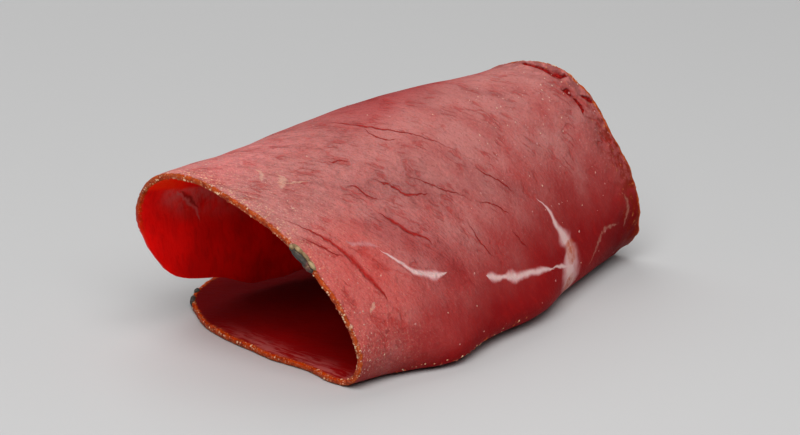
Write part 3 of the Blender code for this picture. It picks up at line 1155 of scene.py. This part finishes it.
def inner_meat(colours, sizes):
    """The moister face inside the roll."""
    meat = SliceRecipe("inner_meat", INNER_FIBRE_SLANT)
    paint_inner_base(meat, colours)
    lower = meat.along.between(-2, -12)
    threads = meat.noise(1.6, 3, 0.5, meat.vector("MULTIPLY", meat.wander(0.2, 2), (0.12, 1, 1)))
    film = meat.rim.between(7, 1) * lower * meat.along.between(-54, -36) * threads.between(0.38, 0.62)
    # Pale rosy clouds just below the fold, partly a paler surface of the meat and partly painted sheen.
    below_fold = meat.along.between(56.5, 58) * meat.along.between(65, 58.5) * meat.across.between(20, -10)
    bloom_and_sheen = below_fold * meat.rim.between(3, 8) * meat.noise(0.22, 3, 0.6).between(0.32, 0.58)
    meat.paint((film * 0.4).most(bloom_and_sheen * 0.45), colours.rosy)
    wandering = meat.wander(0.7, 1.2)
    # Painted shade along the creases of the inner face.
    meat.paint(meat.streaks(INNER_CREASES, 1, wandering) * 0.6, colours.deep_meat_and_shade)
    meat.paint(meat.streaks(INNER_VEINS, 1, wandering) * 0.5, colours.rosy)
    # Painted glow on the roof's inner face near its edge, as if lit through.
    roof = meat.along.between(32, 44) * meat.along.between(58, 56.5)
    meat.paint(meat.rim.between(11.5, 8.5) * roof, colours.lit)
    skin = rind_mask(meat, sizes.rind_width * MILLIMETRES * 0.8)
    meat.paint(skin, rind_colour(meat, colours))
    relief = meat.fibres * 0.7 + meat.pores * 0.25 + skin * 0.3
    roughness = 0.4 + lower * 0.14 + meat.pores * 0.12 + skin * 0.1
    return meat.finish(roughness, relief, 0.0004, INNER_GLOW)


def rind(colours):
    """The smoked, crumbly rind on the cut edge."""
    meat = SliceRecipe("rind")
    paint_inner_base(meat, colours)
    meat.paint(meat.along.between(RIND_FADES_TO, RIND_FADES_FROM), rind_colour(meat, colours))
    return meat.finish(0.55, meat.noise(1500, 3, 0.6, meat.object_place), 0.0003, RIND_GLOW)


def crumb_material(name, light, dark, roughness):
    """Small dry grains whose tone changes from one to the next."""
    recipe = Recipe(name)
    recipe.colour = dark
    recipe.paint(recipe.noise(900, 0).between(0.42, 0.68), light)
    fine = recipe.noise(5200, 2, 0.6)
    return recipe.finish(roughness + fine * 0.15, fine, 0.0001, CRUMB_GLOW)


def pepper_material(colours):
    """Charred black flakes with brown and tan edges."""
    recipe = Recipe(PEPPER_CRUST)
    recipe.colour = colours.pepper
    recipe.paint(recipe.noise(600).between(0.56, 0.66) * 0.4, colours.char)
    recipe.paint(recipe.noise(1300, 3, 0.65).between(0.60, 0.70) * 0.5, colours.husk)
    sockets = {"Vector": recipe.place(), "Scale": 1100}
    flakes = recipe.node("ShaderNodeTexVoronoi", {"feature": "F1"}, sockets, "Distance")
    return recipe.finish(0.45 + flakes * 0.3, flakes, 0.0004)


def grain(fineness, roughness, seed):
    """One rough grain at the origin, as an object of its own."""
    deselect_all()
    bpy.ops.mesh.primitive_ico_sphere_add(subdivisions=fineness, radius=GRAIN_RADIUS)
    made = bpy.context.active_object
    bpy.ops.object.mode_set(mode="EDIT")
    bpy.ops.mesh.select_all(action="SELECT")
    bpy.ops.transform.vertex_random(offset=GRAIN_RADIUS * roughness, uniform=1, normal=0, seed=seed)
    bpy.ops.object.mode_set(mode="OBJECT")
    return made


def copies_in_place(samples, places, name):
    """Copy the sample grains to all places, join the copies and remove the samples."""
    copies = []
    for number, place in enumerate(places):
        sample = samples[number % len(samples)]
        made = sample.copy()
        made.data = sample.data.copy()
        made.matrix_world = place
        bpy.context.scene.collection.objects.link(made)
        copies.append(made)
    for sample in samples:
        bpy.data.objects.remove(sample)
    deselect_all()
    for made in copies:
        made.select_set(True)
    bpy.context.view_layer.objects.active = copies[0]
    bpy.ops.object.join()
    piece = bpy.context.active_object
    bpy.ops.object.transform_apply()
    piece.name = name
    piece.data.name = name
    return piece


def seated(spot, normal, spin, stretch):
    """Where a grain sits: on a spot of the surface, facing along the normal, spun about it and stretched."""
    upright = normal.to_track_quat("Z", "Y").to_matrix().to_4x4()
    scale = Matrix.Diagonal((*stretch, 1))
    return Matrix.Translation(spot) @ upright @ Matrix.Rotation(spin, 4, "Z") @ scale


def point_on_face(mesh, face, chance):
    """A point somewhere on a face of a mesh, and the face's normal."""
    shares = [chance.random() for _ in face.vertices]
    spot = sum((mesh.vertices[number].co * share for number, share in zip(face.vertices, shares)), Vector())
    return spot / sum(shares), face.normal


def scatter(mesh, faces, count, chance, draw_size):
    """Seats for grains at random on some faces, where each is clear of the floor."""
    places = []
    for _ in range(count):
        spot, normal = point_on_face(mesh, chance.choice(faces), chance)
        size = draw_size()
        if spot.z > size[1]:
            places.append(seated(spot, normal, chance.uniform(0, math.tau), size))
    return places


def finish_piece(piece, material):
    piece.data.materials.clear()
    piece.data.materials.append(material)
    piece.data.shade_smooth()
    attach(piece, "root")


class HAM_OT_add_rind_crumbs(bpy.types.Operator):
    """Add the crumbs that stick to the rind all round the slice"""

    bl_idname = "ham.add_rind_crumbs"
    bl_label = "Add Rind Crumbs"

    def execute(self, context):
        sizes = context.scene.ham_sizes
        colours = context.scene.ham_colours
        chance = random.Random(CRUMB_SEED)
        mesh = bpy.data.objects[SLICE].data
        flat, rim, depth = flat_measures(mesh)
        on_rim = [
            face
            for face in mesh.polygons
            if min(rim[number].value for number in face.vertices) < RIND_REACH
            and flat[face.vertices[0]].vector.x < RIND_FADES_FROM
        ]
        inner_border = [
            face
            for face in on_rim
            if face.material_index == RIM_SLOT
            and flat[face.vertices[0]].vector.y < 0
            and min(depth[number].value for number in face.vertices) > INNER_DEPTH
        ]
        low_line = [(*point, LOW_LINE_REACH) for point in LOW_LINE]
        low_front = [
            face
            for face in mesh.polygons
            if face.material_index == OUTER_SLOT and nearness(flat[face.vertices[0]].vector.xy, low_line) < 1
        ]

        def rind_crumb():
            width = sizes.crumb_size * chance.triangular(*GRAIN_WIDTHS)
            return width * chance.uniform(*CRUMB_LENGTHS), width, width * chance.uniform(*CRUMB_HEIGHTS)

        def crumb(least, most, longer, lower):
            width = sizes.crumb_size * chance.uniform(least, most)
            return width * longer, width, width * lower

        places = scatter(mesh, on_rim, sizes.crumb_count, chance, rind_crumb)
        places += scatter(mesh, inner_border, INNER_CRUMBS, chance, lambda: crumb(*INNER_CRUMB_SIZES))
        places += scatter(mesh, low_front, LOW_CRUMBS, chance, lambda: crumb(*LOW_CRUMB_SIZES))
        samples = [grain(GRAIN_FINENESS, CRUMB_ROUGHNESS, seed) for seed in CRUMB_SAMPLES]
        piece = copies_in_place(samples, places, RIND_CRUMBS)
        finish_piece(piece, crumb_material(RIND_CRUMBS, colours.crumb, colours.rind, 0.55))
        return {"FINISHED"}


class HAM_OT_add_pale_specks(bpy.types.Operator):
    """Add the pale specks that are scattered over the cut face"""

    bl_idname = "ham.add_pale_specks"
    bl_label = "Add Pale Specks"

    def execute(self, context):
        sizes = context.scene.ham_sizes
        colours = context.scene.ham_colours
        chance = random.Random(SPECK_SEED)
        mesh = bpy.data.objects[SLICE].data
        flat, rim, _ = flat_measures(mesh)
        outer = [
            face
            for face in mesh.polygons
            if face.material_index == OUTER_SLOT and mesh.vertices[face.vertices[0]].co.z > SPECK_LOWEST
        ]
        places = []
        while len(places) < sizes.speck_count:
            face = chance.choice(outer)
            number = face.vertices[0]
            from_cluster = (flat[number].vector.xy - Vector(SPECK_CLUSTER)).length
            crowding = hump(from_cluster, 0, SPECK_CLUSTER_REACH)
            if flat[number].vector.y < 0:
                crowding += math.exp(-rim[number].value / SPECK_CROWDING)
            if chance.random() > SPECK_CHANCE + crowding * SPECK_CROWDED_CHANCE:
                continue
            spot, normal = point_on_face(mesh, face, chance)
            width = sizes.speck_size * chance.triangular(*GRAIN_WIDTHS)
            size = (width * chance.uniform(*SPECK_LENGTHS), width, width * SPECK_HEIGHT)
            places.append(seated(spot, normal, chance.uniform(0, math.tau), size))
        samples = [grain(GRAIN_FINENESS, SPECK_ROUGHNESS, seed) for seed in SPECK_SAMPLES]
        piece = copies_in_place(samples, places, PALE_SPECKS)
        finish_piece(piece, crumb_material(PALE_SPECKS, colours.speck, colours.rosy, 0.5))
        return {"FINISHED"}


class HAM_OT_add_pepper_crust(bpy.types.Operator):
    """Add the charred flakes of pepper crust on the near edge, with their husks"""

    bl_idname = "ham.add_pepper_crust"
    bl_label = "Add Pepper Crust"

    def execute(self, context):
        colours = context.scene.ham_colours
        flakes = flakes_on_edge(PEPPER_FLAKES, PEPPER_CRUST, FLAKE_SEED)
        finish_piece(flakes, pepper_material(colours))
        husks = flakes_on_edge(HUSKS, PEPPER_HUSKS, HUSK_SEED)
        finish_piece(husks, crumb_material(PEPPER_HUSKS, colours.husk, colours.bran, 0.6))
        return {"FINISHED"}


def flakes_on_edge(flakes, name, first_seed):
    """Lay rough flakes along the near edge of the slice, flat against its rim, as one piece."""
    mesh = bpy.data.objects[SLICE].data
    flat, rim, _ = flat_measures(mesh)
    edge = [
        (flat[vertex.index].vector.x, vertex.co.copy())
        for vertex in mesh.vertices
        if rim[vertex.index].value < RIM_TOLERANCE and flat[vertex.index].vector.y < 0
    ]
    samples = []
    places = []
    for along, aside, length, thickness, width in flakes:
        middle = edge_middle(edge, along)
        ahead = edge_middle(edge, along - EDGE_STEP) - edge_middle(edge, along + EDGE_STEP)
        turn = ahead.to_track_quat("X", "Z").to_matrix().to_4x4()
        shift = Matrix.Translation((0, -FLAKE_PROUD * thickness, aside / MILLIMETRES))
        size = Matrix.Diagonal((length, thickness, width, 1))
        places.append(Matrix.Translation(middle) @ turn @ shift @ size)
        samples.append(grain(FLAKE_FINENESS, FLAKE_ROUGHNESS, first_seed + len(samples)))
    return copies_in_place(samples, places, name)


def edge_middle(edge, along):
    """The middle of the rim at a length along the flat slice, in millimetres."""
    closest = sorted(edge, key=lambda entry: abs(entry[0] - along))[:EDGE_NEIGHBOURS]
    return sum((place for _, place in closest), Vector()) / len(closest)


class HAM_OT_add_slice(bpy.types.Operator):
    """Add the folded slice of ham"""

    bl_idname = "ham.add_slice"
    bl_label = "Add Folded Slice"

    def execute(self, context):
        sizes = context.scene.ham_sizes
        colours = context.scene.ham_colours
        sheet, row_count = flat_sheet()
        places = keep_flat_measures(sheet, row_count)
        fold(sheet, places)
        shape_roll(sheet, sizes.wave_height)
        for material in (inner_meat(colours, sizes), outer_meat(colours, sizes), rind(colours)):
            sheet.data.materials.append(material)
        thicken(sheet, sizes.thickness)
        keep_depth(sheet)
        roughen(sheet, sizes)
        sheet.data.shade_smooth()
        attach(sheet, "root")
        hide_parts("venison_ham_slice")
        return {"FINISHED"}


def facing(place, aim):
    """The turn that makes a light or a camera at one place face another."""
    return (Vector(aim) - Vector(place)).to_track_quat("-Z", "Y").to_euler()


class HAM_OT_add_stage(bpy.types.Operator):
    """Add the table top, the lights and the camera"""

    bl_idname = "ham.add_stage"
    bl_label = "Add Stage"

    def execute(self, context):
        deselect_all()
        bpy.ops.mesh.primitive_plane_add(size=FLOOR_SIZE, location=(0, 0, -FLOOR_DROP))
        floor = context.active_object
        floor.name = FLOOR
        recipe = Recipe(FLOOR)
        recipe.colour = FLOOR_COLOUR
        floor.data.materials.append(recipe.finish(FLOOR_ROUGHNESS))
        for name, place, power in LIGHTS:
            deselect_all()
            bpy.ops.object.light_add(type="AREA", location=place, rotation=facing(place, (0, 0, 0)))
            light = context.active_object
            light.name = name
            light.data.shape = "SQUARE"
            light.data.size = LIGHT_SIZE
            light.data.energy = power
        deselect_all()
        bpy.ops.object.camera_add(location=EYE, rotation=facing(EYE, AIM))
        camera = context.active_object
        camera.data.lens = LENS
        camera.data.sensor_width = SENSOR_WIDTH
        context.scene.camera = camera
        world = bpy.data.worlds.new("studio")
        world.use_nodes = True
        background = world.node_tree.nodes["Background"]
        background.inputs["Color"].default_value = (1, 1, 1, 1)
        background.inputs["Strength"].default_value = WORLD_LIGHT
        context.scene.world = world
        context.scene.view_settings.view_transform = "Standard"
        return {"FINISHED"}


class HAM_PT_panel(bpy.types.Panel):
    """Buttons and values of the ham slice"""

    bl_idname = "HAM_PT_panel"
    bl_label = "Venison Ham"
    bl_space_type = "VIEW_3D"
    bl_region_type = "UI"
    bl_category = "Ham"

    def draw(self, context):
        layout = self.layout
        for operator in OPERATORS:
            layout.operator(operator.bl_idname)
        for group in (context.scene.ham_sizes, context.scene.ham_colours):
            box = layout.box()
            for name in group.bl_rna.properties.keys():
                if name not in ("rna_type", "name"):
                    box.prop(group, name)


OPERATORS = (
    HAM_OT_add_stage,
    HAM_OT_add_slice,
    HAM_OT_add_pepper_crust,
    HAM_OT_add_rind_crumbs,
    HAM_OT_add_pale_specks,
)
CLASSES = (HamSizes, HamColours, *OPERATORS, HAM_PT_panel)


def register():
    for made in CLASSES:
        bpy.utils.register_class(made)
    bpy.types.Scene.ham_sizes = PointerProperty(type=HamSizes)
    bpy.types.Scene.ham_colours = PointerProperty(type=HamColours)


def unregister():
    del bpy.types.Scene.ham_colours
    del bpy.types.Scene.ham_sizes
    for made in reversed(CLASSES):
        bpy.utils.unregister_class(made)


def main():
    register()
    bpy.ops.ham.add_stage()
    bpy.ops.ham.add_slice()
    bpy.ops.ham.add_pepper_crust()
    bpy.ops.ham.add_rind_crumbs()
    bpy.ops.ham.add_pale_specks()


if __name__ == "__main__":
    main()
